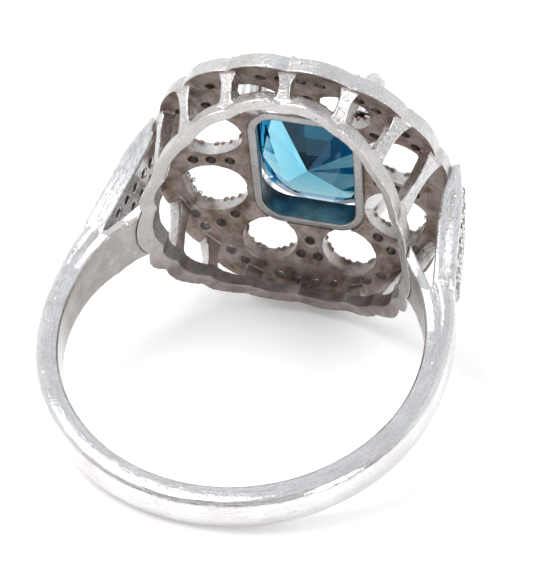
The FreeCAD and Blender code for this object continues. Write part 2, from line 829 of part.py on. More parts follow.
def beads(label, sites, radius, tools):
    """Round grains that stand on the surface, each a ball with its pole up."""
    kept = []
    for pos, up in sites:
        for turn in (0, 35, 80, 130):
            spin = FreeCAD.Rotation(up, turn)
            ball = Part.makeSphere(radius, Vector(0, 0, 0))
            ball.Placement = FreeCAD.Placement(pos, spin.multiply(FreeCAD.Rotation(Vector(0, 0, 1), up)))
            above = [q for q in ball.cut(tools).Solids if q.Volume > 1e-4 and q.isValid()]
            if above:
                kept.append(max(above, key=lambda q: q.Volume))
                break
    if not kept:
        raise RuntimeError("%s: no grain stands clear" % label)
    feature(label, compound(kept))


beads("outer_beads", outer_beads, BR, [slab_tool])
beads("inner_beads", inner_beads, BR, [slab_tool])

# Grains between the stones of the ribs.
RIB_BEADS = [(sx * x, sy * y) for sx in (1, -1) for sy in (1, -1)
             for x, y in ((4.61, 0.31), (5.6, 0.31), (4.65, 3.99), (4.18, 4.54))]
RIB_BEADS += [(SHIFT + sx * 0.5, sy * 5.62) for sx in (1, -1) for sy in (1, -1)]
rib_beads = [(Vector(x, y, dome_z(x, y) + 0.02), dome_normal(x, y)) for x, y in RIB_BEADS]
beads("rib_beads", rib_beads, 0.12, [slab_tool])

# Grains in the gaps of the three rows of shoulder stones.
for label, s in (("left_shoulder", -1), ("right_shoulder", 1)):
    spots = []
    for k in range(6):
        for y, dz in ((0.386, 0.475), (0.594, 0.945), (1.34, 0.945)):
            z = 5.5 + 0.95 * k + dz
            if z > 10.9:
                continue
            x, n = arm_outer_x(z)
            for side in (1, -1):
                spots.append((Vector(s * (x + 0.02), side * y, z), Vector(s * n.x, 0, n.z)))
    beads(label + "_beads", spots, 0.12, [shoulders[label][2]])

doc.recompute()

# ------------------------------------------------------------ hand-over

NODES = ["shank", "left_shoulder", "right_shoulder", "left_under_arm", "right_under_arm",
         "gallery_rail", "gallery_posts_front", "gallery_posts_back", "halo_border",
         "petal_lattice", "centre_collet", "centre_claws", "centre_stone",
         "border_stones_front", "border_stones_back", "border_stones_left", "border_stones_right",
         "side_rib_stones", "end_rib_stones", "corner_rib_stones",
         "left_shoulder_stones", "right_shoulder_stones", "outer_beads", "inner_beads",
         "rib_beads", "left_shoulder_beads", "right_shoulder_beads"]

by_label = {o.Label: o for o in doc.Objects}
problems = []
for o in doc.Objects:
    if any(word in o.State for word in ("Invalid", "Error")):
        problems.append("%s: %s" % (o.Label, o.State))
for label in NODES:
    shape = by_label[label].Shape
    if shape.isNull() or not shape.isValid() or not shape.Solids:
        problems.append("%s has no valid shape" % label)
if problems:
    raise RuntimeError("; ".join(problems))
os.makedirs("parts", exist_ok=True)
for label in NODES:
    shape = by_label[label].Shape
    shape.exportStep("parts/%s.step" % label)
    print(label, len(shape.Solids), round(shape.Volume, 3))
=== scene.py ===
import math

import bmesh
import bpy
import numpy as np
from mathutils import Matrix, Vector, noise
from mathutils.bvhtree import BVHTree


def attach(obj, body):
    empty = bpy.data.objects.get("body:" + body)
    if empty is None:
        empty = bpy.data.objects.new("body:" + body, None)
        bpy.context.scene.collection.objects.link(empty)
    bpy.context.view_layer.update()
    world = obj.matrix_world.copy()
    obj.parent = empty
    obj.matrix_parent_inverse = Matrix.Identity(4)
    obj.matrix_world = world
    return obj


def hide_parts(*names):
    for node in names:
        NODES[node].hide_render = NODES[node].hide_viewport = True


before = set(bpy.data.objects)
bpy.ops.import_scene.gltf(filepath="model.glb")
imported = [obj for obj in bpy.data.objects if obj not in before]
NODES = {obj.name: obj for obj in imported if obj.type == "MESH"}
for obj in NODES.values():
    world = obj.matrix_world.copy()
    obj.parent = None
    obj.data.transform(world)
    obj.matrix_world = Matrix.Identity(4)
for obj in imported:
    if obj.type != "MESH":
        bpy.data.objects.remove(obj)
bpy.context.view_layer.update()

MM = 0.001
scene = bpy.context.scene

# ------------------------------------------------------------------ camera
cam_data = bpy.data.cameras.new("camera")
cam = bpy.data.objects.new("camera", cam_data)
scene.collection.objects.link(cam)
eye = Vector((19.7835, -66.7731, -48.4466)) * MM
right = Vector((0.96001642, 0.06947746, 0.27118508))
up = Vector((-0.16694888, -0.6355078, 0.75382884))
ahead = Vector((-0.22471435, 0.76896211, 0.59849874))
cam.matrix_world = Matrix((
    (right.x, up.x, -ahead.x, eye.x),
    (right.y, up.y, -ahead.y, eye.y),
    (right.z, up.z, -ahead.z, eye.z),
    (0, 0, 0, 1)))
cam_data.sensor_width = 36.0
cam_data.sensor_fit = "AUTO"
cam_data.lens = 1777.36 / 576.0 * 36.0
cam_data.clip_start = 0.001
cam_data.clip_end = 20.0
scene.camera = cam

scene.view_settings.view_transform = "Standard"
scene.view_settings.look = "None"
scene.view_settings.exposure = 0.0
scene.cycles.use_denoising = True
scene.cycles.max_bounces = 14
scene.cycles.glossy_bounces = 8
scene.cycles.transmission_bounces = 10
scene.cycles.transparent_max_bounces = 12

# ----------------------------------------------------------------- helpers


def link(ob):
    scene.collection.objects.link(ob)
    return ob


def mesh_object(name, verts, faces, smooth=False):
    me = bpy.data.meshes.new(name)
    me.from_pydata([tuple(v) for v in verts], [], [tuple(f) for f in faces])
    me.validate()
    me.update()
    me.polygons.foreach_set("use_smooth", [smooth] * len(me.polygons))
    return link(bpy.data.objects.new(name, me))


def stand_in(ob, node, material):
    """ob is the finished piece for one CAD node."""
    ob.data.materials.clear()
    ob.data.materials.append(material)
    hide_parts(node)
    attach(ob, "root")
    return ob


def welded(node):
    """Vertices in millimetres and faces of a CAD node, with its edges joined."""
    bm = bmesh.new()
    bm.from_mesh(NODES[node].data)
    bmesh.ops.scale(bm, vec=(1000, 1000, 1000), verts=bm.verts)
    bmesh.ops.remove_doubles(bm, verts=bm.verts, dist=0.0008)
    return bm


def cast_piece(node, name, voxel, smooth=6, wobble=0.0, seed=0.0, strength=0.5):
    """The CAD shape as a casting: one skin with softly rounded edges and a
    faint unevenness."""
    bm = welded(node)
    me = bpy.data.meshes.new(name)
    bm.to_mesh(me)
    bm.free()
    ob = link(bpy.data.objects.new(name, me))
    mod = ob.modifiers.new("skin", "REMESH")
    mod.mode = "VOXEL"
    mod.voxel_size = voxel
    mod.adaptivity = 0.0
    if smooth:
        sm = ob.modifiers.new("soften", "SMOOTH")
        sm.factor = strength
        sm.iterations = smooth
    dg = bpy.context.evaluated_depsgraph_get()
    out = bpy.data.meshes.new_from_object(ob.evaluated_get(dg))
    ob.modifiers.clear()
    ob.data = out
    n = len(out.vertices)
    co = np.empty(n * 3)
    out.vertices.foreach_get("co", co)
    co = co.reshape(-1, 3)
    if wobble:
        no = np.empty(n * 3)
        out.vertices.foreach_get("normal", no)
        no = no.reshape(-1, 3)
        amt = np.array([noise.noise(Vector(p) * 1.1 + Vector((seed, 3.1, 7.7)))
                        + 0.4 * noise.noise(Vector(p) * 3.3 + Vector((seed, 9.1, 2.7))) - 0.35
                        for p in co])
        co = co + no * (wobble * amt)[:, None]
    out.vertices.foreach_set("co", (co * MM).ravel())
    out.polygons.foreach_set("use_smooth", [True] * len(out.polygons))
    out.update()
    out.name = name
    return ob


# --------------------------------------------------------------- materials


def new_material(name):
    m = bpy.data.materials.new(name)
    m.use_nodes = True
    nt = m.node_tree
    return m, nt, nt.nodes["Principled BSDF"]


def coord(nt, scale=1000.0):
    """Position on the object in millimetres."""
    tc = nt.nodes.new("ShaderNodeTexCoord")
    mp = nt.nodes.new("ShaderNodeMapping")
    mp.inputs["Scale"].default_value = (scale, scale, scale)
    nt.links.new(tc.outputs["Object"], mp.inputs["Vector"])
    return mp.outputs["Vector"]


def noise_tex(nt, vec, scale, detail=3.0, rough=0.55, distortion=0.0):
    n = nt.nodes.new("ShaderNodeTexNoise")
    n.inputs["Scale"].default_value = scale
    n.inputs["Detail"].default_value = detail
    n.inputs["Roughness"].default_value = rough
    n.inputs["Distortion"].default_value = distortion
    nt.links.new(vec, n.inputs["Vector"])
    return n.outputs["Fac"]


def ramp(nt, fac, stops):
    r = nt.nodes.new("ShaderNodeValToRGB")
    els = r.color_ramp.elements
    els[0].position, els[0].color = stops[0][0], (*stops[0][1], 1)
    els[1].position, els[1].color = stops[-1][0], (*stops[-1][1], 1)
    for pos, col in stops[1:-1]:
        e = els.new(pos)
        e.color = (*col, 1)
    nt.links.new(fac, r.inputs["Fac"])
    return r.outputs["Color"]


def map_range(nt, value, a, b, c, d):
    m = nt.nodes.new("ShaderNodeMapRange")
    m.inputs["From Min"].default_value = a
    m.inputs["From Max"].default_value = b
    m.inputs["To Min"].default_value = c
    m.inputs["To Max"].default_value = d
    nt.links.new(value, m.inputs["Value"])
    return m.outputs["Result"]


def mix_rgb(nt, fac, a, b, mode="MIX"):
    m = nt.nodes.new("ShaderNodeMix")
    m.data_type = "RGBA"
    m.blend_type = mode
    if isinstance(fac, float):
        m.inputs[0].default_value = fac
    else:
        nt.links.new(fac, m.inputs[0])
    for sock, v in ((m.inputs[6], a), (m.inputs[7], b)):
        if isinstance(v, tuple):
            sock.default_value = (*v, 1)
        else:
            nt.links.new(v, sock)
    return m.outputs[2]


def math_node(nt, op, a, b):
    m = nt.nodes.new("ShaderNodeMath")
    m.operation = op
    for sock, v in ((m.inputs[0], a), (m.inputs[1], b)):
        if isinstance(v, (int, float)):
            sock.default_value = v
        else:
            nt.links.new(v, sock)
    return m.outputs[0]


def stretched(nt, vec, stretch, scale):
    """Fine polishing lines, drawn out along the small axis of stretch."""
    mp = nt.nodes.new("ShaderNodeMapping")
    mp.inputs["Scale"].default_value = stretch
    nt.links.new(vec, mp.inputs["Vector"])
    return noise_tex(nt, mp.outputs["Vector"], scale, 2.0, 0.6, 0.3)


def hoop_lines(nt, vec, scale):
    """Polishing lines that run round the finger."""
    sep = nt.nodes.new("ShaderNodeSeparateXYZ")
    nt.links.new(vec, sep.inputs[0])
    ang = math_node(nt, "ARCTAN2", sep.outputs[2], sep.outputs[0])
    rad = math_node(nt, "SQRT", math_node(nt, "ADD", math_node(nt, "MULTIPLY", sep.outputs[0], sep.outputs[0]),
                                          math_node(nt, "MULTIPLY", sep.outputs[2], sep.outputs[2])), 0.0)
    comb = nt.nodes.new("ShaderNodeCombineXYZ")
    nt.links.new(math_node(nt, "MULTIPLY", ang, 3.0), comb.inputs[0])
    nt.links.new(math_node(nt, "MULTIPLY", rad, 7.0), comb.inputs[1])
    nt.links.new(math_node(nt, "MULTIPLY", sep.outputs[1], 7.0), comb.inputs[2])
    return noise_tex(nt, comb.outputs[0], scale, 2.0, 0.6, 0.2)


def silver(name, bright, warm, rough=(0.1, 0.26), oxide_shade_amount=0.6, pits=0.5, bump=0.25, reach=0.7, lines=0.5,
           way=None, oxide_shade_colour=(0.13, 0.085, 0.062), cloud_scale=0.55, ao_range=(0.3, 0.9), dull_and_shaded=None, streak=0.12):
    """Plated cast silver: faint cloudiness, file marks, casting pits, brown
    oxide mixed with painted shade that gathers in corners and next to the table,
    and, given dull_and_shaded colours, duller metal with painted shade where the wear_and_shade attribute is high."""
    m, nt, bsdf = new_material(name)
    vec = coord(nt)
    cloud = noise_tex(nt, vec, cloud_scale, 4.0, 0.6)
    grain = noise_tex(nt, vec, 7.0, 4.0, 0.65)
    base = ramp(nt, cloud, [(0.32, warm), (0.64, bright)])
    wear_and_shade_mask = None
    # painted shade mixed with duller metal: the wear_and_shade attribute pulls the colour towards the dull_and_shaded
    # colours and roughens it
    if dull_and_shaded:
        at = nt.nodes.new("ShaderNodeAttribute")
        at.attribute_name = "wear_and_shade"
        blot = map_range(nt, noise_tex(nt, vec, 0.9, 4.0, 0.6), 0.3, 0.7, 0.72, 1.12)
        wear_and_shade_mask = math_node(nt, "MULTIPLY", at.outputs["Fac"], blot)
        dull_shade_colour = ramp(nt, noise_tex(nt, vec, 1.3, 4.0, 0.65), [(0.3, dull_and_shaded[0]), (0.68, dull_and_shaded[1])])
        base = mix_rgb(nt, wear_and_shade_mask, base, dull_shade_colour)
    speck = ramp(nt, grain, [(0.25, (0.84, 0.81, 0.79)), (0.55, (1.0, 1.0, 1.0))])
    base = mix_rgb(nt, 0.7, base, speck, "MULTIPLY")
    if way == "hoop":
        line = hoop_lines(nt, vec, 3.0)
    else:
        line = stretched(nt, vec, way or (0.5, 8.0, 8.0), 3.0)
    scratch = ramp(nt, line, [(0.34, (1.0 - streak, 1.0 - 1.05 * streak, 1.0 - 1.08 * streak)), (0.5, (1.0, 1.0, 1.0))])
    base = mix_rgb(nt, 1.0, base, scratch, "MULTIPLY")
    # brown oxide in the hollows plus painted shade: ambient occlusion darkens the colour in corners and, with
    # only_local off, also next to the table
    ao = nt.nodes.new("ShaderNodeAmbientOcclusion")
    ao.samples = 6
    ao.inputs["Distance"].default_value = reach * MM
    ao.only_local = False
    oxide_and_shade = math_node(nt, "MULTIPLY", map_range(nt, ao.outputs["AO"], ao_range[0], ao_range[1], 1.0, 0.0), oxide_shade_amount)
    oxide_and_shade = math_node(nt, "MULTIPLY", oxide_and_shade, map_range(nt, noise_tex(nt, vec, 1.6, 3.0), 0.3, 0.65, 0.5, 1.0))
    base = mix_rgb(nt, oxide_and_shade, base, oxide_shade_colour)
    pit = nt.nodes.new("ShaderNodeTexVoronoi")
    pit.inputs["Scale"].default_value = 2.6
    pit.inputs["Randomness"].default_value = 1.0
    nt.links.new(vec, pit.inputs["Vector"])
    hole = map_range(nt, pit.outputs["Distance"], 0.05, 0.16, 1.0, 0.0)
    gate = map_range(nt, noise_tex(nt, vec, 1.1, 2.0), 0.5, 0.6, 0.0, pits)
    hole = math_node(nt, "MULTIPLY", hole, gate)
    base = mix_rgb(nt, hole, base, (0.20, 0.145, 0.12))
    nt.links.new(base, bsdf.inputs["Base Color"])
    bsdf.inputs["Metallic"].default_value = 1.0
    rmix = math_node(nt, "ADD", math_node(nt, "MULTIPLY", grain, 0.5), math_node(nt, "MULTIPLY", line, 0.5))
    rr = map_range(nt, rmix, 0.3, 0.7, rough[0], rough[1])
    rr = math_node(nt, "ADD", rr, math_node(nt, "MULTIPLY", oxide_and_shade, 0.25))
    if wear_and_shade_mask:
        rr = math_node(nt, "ADD", rr, math_node(nt, "MULTIPLY", wear_and_shade_mask, 0.2))
    nt.links.new(rr, bsdf.inputs["Roughness"])
    height = math_node(nt, "ADD", math_node(nt, "MULTIPLY", line, lines), math_node(nt, "MULTIPLY", grain, 0.3))
    height = math_node(nt, "ADD", height, math_node(nt, "MULTIPLY", cloud, 1.2))
    height = math_node(nt, "SUBTRACT", height, math_node(nt, "MULTIPLY", hole, 1.5))
    bp = nt.nodes.new("ShaderNodeBump")
    bp.inputs["Strength"].default_value = bump
    bp.inputs["Distance"].default_value = 0.06 * MM
    nt.links.new(height, bp.inputs["Height"])
    nt.links.new(bp.outputs["Normal"], bsdf.inputs["Normal"])
    return m


M_BAND = silver("silver_band", (0.82, 0.815, 0.82), (0.72, 0.70, 0.695), rough=(0.06, 0.16), oxide_shade_amount=0.3, pits=0.5,
                bump=0.25, lines=0.7, way="hoop", dull_and_shaded=((0.40, 0.365, 0.345), (0.52, 0.495, 0.475)), streak=0.14)
M_ARM = silver("silver_arm", (0.86, 0.86, 0.87), (0.76, 0.745, 0.74), rough=(0.12, 0.28), oxide_shade_amount=0.75, pits=0.9,
               bump=0.28, lines=0.9, way=(7.0, 7.0, 0.45), streak=0.3)
M_RAIL = silver("silver_rail", (0.76, 0.75, 0.75), (0.66, 0.635, 0.625), rough=(0.1, 0.24), oxide_shade_amount=0.6, pits=0.8,
                bump=0.4, lines=0.8, reach=1.2, oxide_shade_colour=(0.16, 0.115, 0.09), cloud_scale=0.8,
                dull_and_shaded=((0.20, 0.155, 0.145), (0.32, 0.27, 0.26)), streak=0.2)
M_POST = silver("silver_post", (0.84, 0.85, 0.86), (0.72, 0.70, 0.69), rough=(0.1, 0.26), oxide_shade_amount=0.7, pits=0.7,
                bump=0.4, lines=0.8, reach=1.0, oxide_shade_colour=(0.13, 0.09, 0.07), way=(7.0, 7.0, 0.6), cloud_scale=0.8,
                dull_and_shaded=((0.30, 0.24, 0.22), (0.56, 0.50, 0.48)), streak=0.32)
M_PLATE = silver("silver_plate", (0.84, 0.85, 0.865), (0.72, 0.70, 0.69), rough=(0.12, 0.3), oxide_shade_amount=0.8, pits=0.9,
                 bump=0.55, reach=1.2, oxide_shade_colour=(0.085, 0.05, 0.034), cloud_scale=0.7, ao_range=(0.3, 0.95),
                 dull_and_shaded=((0.115, 0.074, 0.054), (0.36, 0.285, 0.245)), streak=0.12)
M_COLLET = silver("silver_collet", (0.72, 0.69, 0.68), (0.55, 0.50, 0.48), rough=(0.08, 0.2), oxide_shade_amount=0.6, pits=0.3,
                  bump=0.3, reach=0.9, oxide_shade_colour=(0.07, 0.06, 0.06), dull_and_shaded=((0.15, 0.17, 0.18), (0.32, 0.35, 0.36)))
M_BEAD = silver("silver_bead", (0.84, 0.83, 0.82), (0.70, 0.67, 0.65), rough=(0.1, 0.24), oxide_shade_amount=0.9, pits=0.0,
                bump=0.25, reach=0.35)


def gem(name, ior, haze, absorb=None, density=0.0, skin=(1.0, 1.0, 1.0), skin2=(0.96, 0.97, 0.98), facet_shade=None):
    """Cut stone: clear skin with faint wipe marks, colour from its depth and
    from painted shade multiplied into the facets that the facet_shade attribute marks."""
    m, nt, bsdf = new_material(name)
    vec = coord(nt)
    veil = noise_tex(nt, vec, 0.8, 2.0)
    colour = ramp(nt, veil, [(0.35, skin2), (0.7, skin)])
    # painted shade: the facet_shade attribute multiplies a near-black blue into the marked facets
    if facet_shade:
        at = nt.nodes.new("ShaderNodeAttribute")
        at.attribute_name = "facet_shade"
        colour = mix_rgb(nt, at.outputs["Fac"], colour, facet_shade, "MULTIPLY")
    nt.links.new(colour, bsdf.inputs["Base Color"])
    bsdf.inputs["Transmission Weight"].default_value = 1.0
    bsdf.inputs["Specular IOR Level"].default_value = 0.12 if facet_shade else 0.5
    if facet_shade:
        bsdf.inputs["Specular Tint"].default_value = (0.35, 0.68, 0.9, 1.0)
    bsdf.inputs["IOR"].default_value = ior
    nt.links.new(map_range(nt, noise_tex(nt, vec, 5.0, 3.0), 0.45, 0.75, 0.0, haze), bsdf.inputs["Roughness"])
    if absorb:
        va = nt.nodes.new("ShaderNodeVolumeAbsorption")
        va.inputs["Color"].default_value = (*absorb, 1)
        va.inputs["Density"].default_value = density
        nt.links.new(va.outputs[0], nt.nodes["Material Output"].inputs["Volume"])
    return m


M_BLUE = gem("blue_gem", 1.70, 0.03, (0.055, 0.68, 0.83), 470.0, (0.93, 0.98, 1.0), (0.88, 0.96, 0.99),
             facet_shade=(0.0, 0.006, 0.022))
M_CLEAR = gem("clear_gem", 2.0, 0.035)

# ------------------------------------------------------- shape of the ring
R = 8.7
DOME_RX, DOME_RY, TOP, THICK = 31.25, 23.8, 12.5, 0.92
AXIS_Z = TOP - DOME_RX


def dome_z(x, y, depth=0.0):
    rho = TOP - DOME_RY + math.sqrt((DOME_RY - depth) ** 2 - y * y) - AXIS_Z
    return AXIS_Z + math.sqrt(rho * rho - x * x)


# ---------------------------------------------------- stones from CAD sites


def islands(node):
    """The separate solids of a node, each as an array of points in mm."""
    bm = welded(node)
    bm.verts.ensure_lookup_table()
    seen = set()
    out = []
    for v in bm.verts:
        if v.index in seen:
            continue
        stack, pts = [v], []
        seen.add(v.index)
        while stack:
            a = stack.pop()
            pts.append(tuple(a.co))
            for e in a.link_edges:
                b = e.other_vert(a)
                if b.index not in seen:
                    seen.add(b.index)
                    stack.append(b)
        out.append(np.array(pts))
    bm.free()
    return out


def hull_mesh(points):
    bm = bmesh.new()
    for p in points:
        bm.verts.new(p)
    res = bmesh.ops.convex_hull(bm, input=bm.verts)
    loose = [v for v in bm.verts if not v.link_faces]
    bmesh.ops.delete(bm, geom=loose, context="VERTS")
    bmesh.ops.dissolve_limit(bm, angle_limit=math.radians(0.6), verts=bm.verts, edges=bm.edges)
    bmesh.ops.recalc_face_normals(bm, faces=bm.faces)
    bm.verts.ensure_lookup_table()
    vs = np.array([tuple(v.co) for v in bm.verts])
    fs = [[v.index for v in f.verts] for f in bm.faces]
    bm.free()
    return vs, fs


def brilliant(radius, crown, pavilion, belt=0.03):
    """Round brilliant: table, stars, kites, girdle facets and pavilion."""
    pts = []
    for k in range(8):
        a = math.radians(45 * k)
        b = a + math.radians(22.5)
        pts.append((0.56 * radius * math.cos(a), 0.56 * radius * math.sin(a), belt + crown))
        pts.append((0.79 * radius * math.cos(b), 0.79 * radius * math.sin(b), belt + 0.62 * crown))
        pts.append((0.42 * radius * math.cos(b), 0.42 * radius * math.sin(b), -pavilion * 0.62))
    for k in range(16):
        a = math.radians(22.5 * k)
        pts.append((radius * math.cos(a), radius * math.sin(a), belt))
        pts.append((radius * math.cos(a), radius * math.sin(a), 0.0))
    pts.append((0, 0, -pavilion))
    return hull_mesh(pts)


BR_V, BR_F = brilliant(0.46, 0.155, 0.38)


def small_stones(node, name):
    """One brilliant on each CAD stone of the group, turned a little each."""
    verts, faces = [], []
    size = 0.85 if "_rib_" in node else 1.0
    for i, pts in enumerate(islands(node)):
        c = pts.mean(0)
        # the sharp end of the CAD stone is its culet
        far = pts[np.argmax(((pts - c) ** 2).sum(1))]
        u, s, vt = np.linalg.svd(pts - c)
        axis = Vector(vt[2])
        # the tip lies alone at one end of the axis
        t = (pts - c) @ np.array(axis)
        if abs(t.min()) < abs(t.max()):
            axis, t = -axis, -t
        axis.normalize()
        tip = c + np.array(axis) * t.min()
        quat = Vector((0, 0, 1)).rotation_difference(axis)
        rot = quat.to_matrix() @ Matrix.Rotation(math.radians(13.0 * i + 7.0 * (i % 3)), 3, "Z")
        base = Vector(tip) + axis * 0.41 * size
        n0 = len(verts)
        for v in BR_V:
            verts.append(tuple((rot @ (Vector(v) * size) + base) * MM))
        faces += [[n0 + j for j in f] for f in BR_F]
    ob = mesh_object(name, verts, faces)
    return stand_in(ob, node, M_CLEAR)


for node in [n for n in NODES if n.endswith("_stones") or n.startswith("border_stones")]:
    small_stones(node, node + "_cut")

# ------------------------------------------------------------ centre stone
GZ, GB, CULET, TABLE, SHIFT = 13.5, 0.2, 11.5, 15.0, 0.15


def cushion(sx, sy, z, count, shift=0.0, sharp=2.7, hx=3.5, hy=4.5):
    pts = []
    for i in range(count):
        a = 2 * math.pi * (i + shift) / count
        c, s = math.cos(a), math.sin(a)
        pts.append((SHIFT + hx * sx * math.copysign(abs(c) ** (2 / sharp), c),
                    hy * sy * math.copysign(abs(s) ** (2 / sharp), s), z))
    return pts


pts = cushion(1, 1, GZ, 32, 0.5) + cushion(1, 1, GZ + GB, 32, 0.5)
pts += cushion(0.60, 0.64, TABLE, 8, 0.0, 2.3)
pts += cushion(0.83, 0.85, GZ + GB + 0.66 * (TABLE - GZ - GB), 8, 0.5, 2.6)
pts += [(SHIFT + sx * 1.45, sy * 2.2, 12.5) for sx in (1, -1) for sy in (1, -1)]
pts += [(SHIFT, 0.0, CULET)]
vs, fs = hull_mesh(pts)
blue = mesh_object("centre_stone_cut", vs * MM, fs)
# painted shade on the pavilion: a per-face facet_shade value darkens chosen facets
facet_shade = blue.data.attributes.new("facet_shade", "FLOAT", "FACE")
for p in blue.data.polygons:
    c, n = p.center / MM, p.normal
    amount = 0.0
    if n.z < -0.05 and c.z < GZ:
        # painted shade: the upper and right pavilion mains get the darkest tint
        side = 0.85 * n.x - 1.0 * n.y
        amount = min(max(0.5 + 2.4 * side, 0.0), 1.0)
        amount = min(max(amount + 0.12 * math.sin(7.0 * c.x + 3.0 * c.y), 0.0), 1.0)
    facet_shade.data[p.index].value = amount
stand_in(blue, "centre_stone", M_BLUE)

# ------------------------------------------------------------------- metal


def evaluated(ob):
    dg = bpy.context.evaluated_depsgraph_get()
    out = bpy.data.meshes.new_from_object(ob.evaluated_get(dg))
    ob.modifiers.clear()
    ob.data = out
    return ob


def joined(name, meshes):
    """One object, in millimetres, of several bmeshes."""
    bm = bmesh.new()
    for part in meshes:
        me = bpy.data.meshes.new("part")
        part.to_mesh(me)
        part.free()
        bm.from_mesh(me)
        bpy.data.meshes.remove(me)
    me = bpy.data.meshes.new(name)
    bm.to_mesh(me)
    bm.free()
    return link(bpy.data.objects.new(name, me))


SKEW = Matrix.Rotation(0.61, 4, "X") @ Matrix.Rotation(0.47, 4, "Y") @ Matrix.Rotation(0.35, 4, "Z")


def skin(ob, voxel, rounds):
    """One even skin over everything in ob, with softly rounded edges. The
    shape is turned askew meanwhile so that no face follows the voxel grid."""
    ob.data.transform(SKEW)
    mod = ob.modifiers.new("skin", "REMESH")
    mod.mode = "VOXEL"
    mod.voxel_size = voxel
    mod.adaptivity = 0.0
    sm = ob.modifiers.new("soften", "SMOOTH")
    sm.factor = 0.5
    sm.iterations = rounds
    evaluated(ob)
    ob.data.transform(SKEW.inverted())
    ob.data.update()
    return ob


def unevenness(ob, amount, seed, fine=0.4):
    me = ob.data
    n = len(me.vertices)
    co = np.empty(n * 3)
    no = np.empty(n * 3)
    me.vertices.foreach_get("co", co)
    me.vertices.foreach_get("normal", no)
    co, no = co.reshape(-1, 3), no.reshape(-1, 3)
    amt = np.array([noise.noise(Vector(p) * 0.9 + Vector((seed, 3.1, 7.7)))
                    + fine * noise.noise(Vector(p) * 2.7 + Vector((seed, 9.1, 2.7))) - 0.3 for p in co])
    me.vertices.foreach_set("co", (co + no * (amount * amt)[:, None]).ravel())
    me.update()
    return co, no


def copy_of(ob, name):
    return link(bpy.data.objects.new(name, ob.data.copy()))


def carve(ob, cutter, keep):
    mod = ob.modifiers.new("cut", "BOOLEAN")
    mod.operation = "INTERSECT" if keep == "inside" else "DIFFERENCE"
    mod.solver = "FAST"
    mod.object = cutter
    return evaluated(ob)


def divide(ob, cutter, name):
    """Takes what lies inside the cutter off ob as its own piece."""
    piece = carve(copy_of(ob, name), cutter, "inside")
    carve(ob, cutter, "outside")
    return piece


def loft_tool(name, sections):
    verts, faces = [], []
    n = len(sections[0])
    for sec in sections:
        verts += sec
    for k in range(len(sections) - 1):
        for i in range(n):
            j = (i + 1) % n
            faces.append((k * n + i, k * n + j, (k + 1) * n + j, (k + 1) * n + i))
    faces.append(tuple(reversed(range(n))))
    faces.append(tuple(range((len(sections) - 1) * n, len(sections) * n)))
    ob = mesh_object(name, verts, faces)
    bm = bmesh.new()
    bm.from_mesh(ob.data)
    bmesh.ops.recalc_face_normals(bm, faces=bm.faces)
    bm.to_mesh(ob.data)
    bm.free()
    return ob


def wear_and_shade(ob, rule):
    """Stores for each point how dull the metal is, with painted shade folded in: 0 polished and unshaded to 1 as cast
    or in the deepest painted shade.
    """
    me = ob.data
    n = len(me.vertices)
    co = np.empty(n * 3)
    no = np.empty(n * 3)
    me.vertices.foreach_get("co", co)
    me.vertices.foreach_get("normal", no)
    at = me.attributes.new("wear_and_shade", "FLOAT", "POINT")
    at.data.foreach_set("value", np.clip(rule(co.reshape(-1, 3), no.reshape(-1, 3)), 0.0, 1.0))


def ramp01(v, lo, hi):
    t = np.clip((v - lo) / (hi - lo), 0.0, 1.0)
    return t * t * (3 - 2 * t)


def outward(co):
    r = np.hypot(co[:, 0], co[:, 1] * 0.9)
    return co[:, 0] / np.maximum(r, 1e-6), co[:, 1] * 0.9 / np.maximum(r, 1e-6)


# undersides and inward faces darker, the outer rim lighter: partly the unpolished, oxidised underside of the setting,
# partly painted shade
def head_dull_and_shade(co, no):
    ux, uy = outward(co)
    out = no[:, 0] * ux + no[:, 1] * uy
    up = no[:, 2]
    under = ramp01(-up, -0.15, 0.6)
    inward = ramp01(-out, 0.0, 0.8)
    rim = ramp01(np.hypot(co[:, 0] / 7.3, co[:, 1] / 8.0), 0.97, 1.03)
    return 0.12 + 0.88 * under * (1 - 0.7 * rim * ramp01(out, 0.1, 0.7)) + 0.55 * inward * (1 - rim) + 0.1 * (1 - rim)


# painted shade: the inward faces of the posts and the side towards the table (+y) are darker
def post_painted_shade(co, no):
    ux, uy = outward(co)
    out = no[:, 0] * ux + no[:, 1] * uy
    return 0.1 + 0.75 * ramp01(-out, -0.25, 0.6) + 0.25 * ramp01(co[:, 1], 0.0, 7.0)


# painted shade: the rail is darker towards the table (+y) on faces turned inward and down, and a little darker on all
# inward faces
def rail_painted_shade(co, no):
    ux, uy = outward(co)
    out = no[:, 0] * ux + no[:, 1] * uy
    return 0.08 + 0.3 * ramp01(-out, -0.1, 0.7) + 0.85 * ramp01(co[:, 1], 0.0, 6.0) * ramp01(-out - 0.6 * no[:, 2], -0.6, 0.5)


# painted shade: the inner face of the hoop and the under-arms is darker from a little below the sides up towards the
# head, standing in for the shade it reflects
def band_painted_shade(co, no):
    rad = np.hypot(co[:, 0], co[:, 2])
    ang = np.degrees(np.arctan2(co[:, 2], np.abs(co[:, 0])))
    return ramp01(8.83 - rad, 0.0, 0.09) * ramp01(ang, -28.0, 2.0)


# darker on the inner wall and on the underside of the collet
def collet_darkening(co, no):
    cx, cy = co[:, 0] - SHIFT, co[:, 1]
    r = np.maximum(np.hypot(cx, cy), 1e-6)
    inner = -(no[:, 0] * cx + no[:, 1] * cy) / r
    return 0.25 + 0.9 * ramp01(inner, 0.2, 0.8) + 0.3 * ramp01(-no[:, 2], 0.2, 0.8)


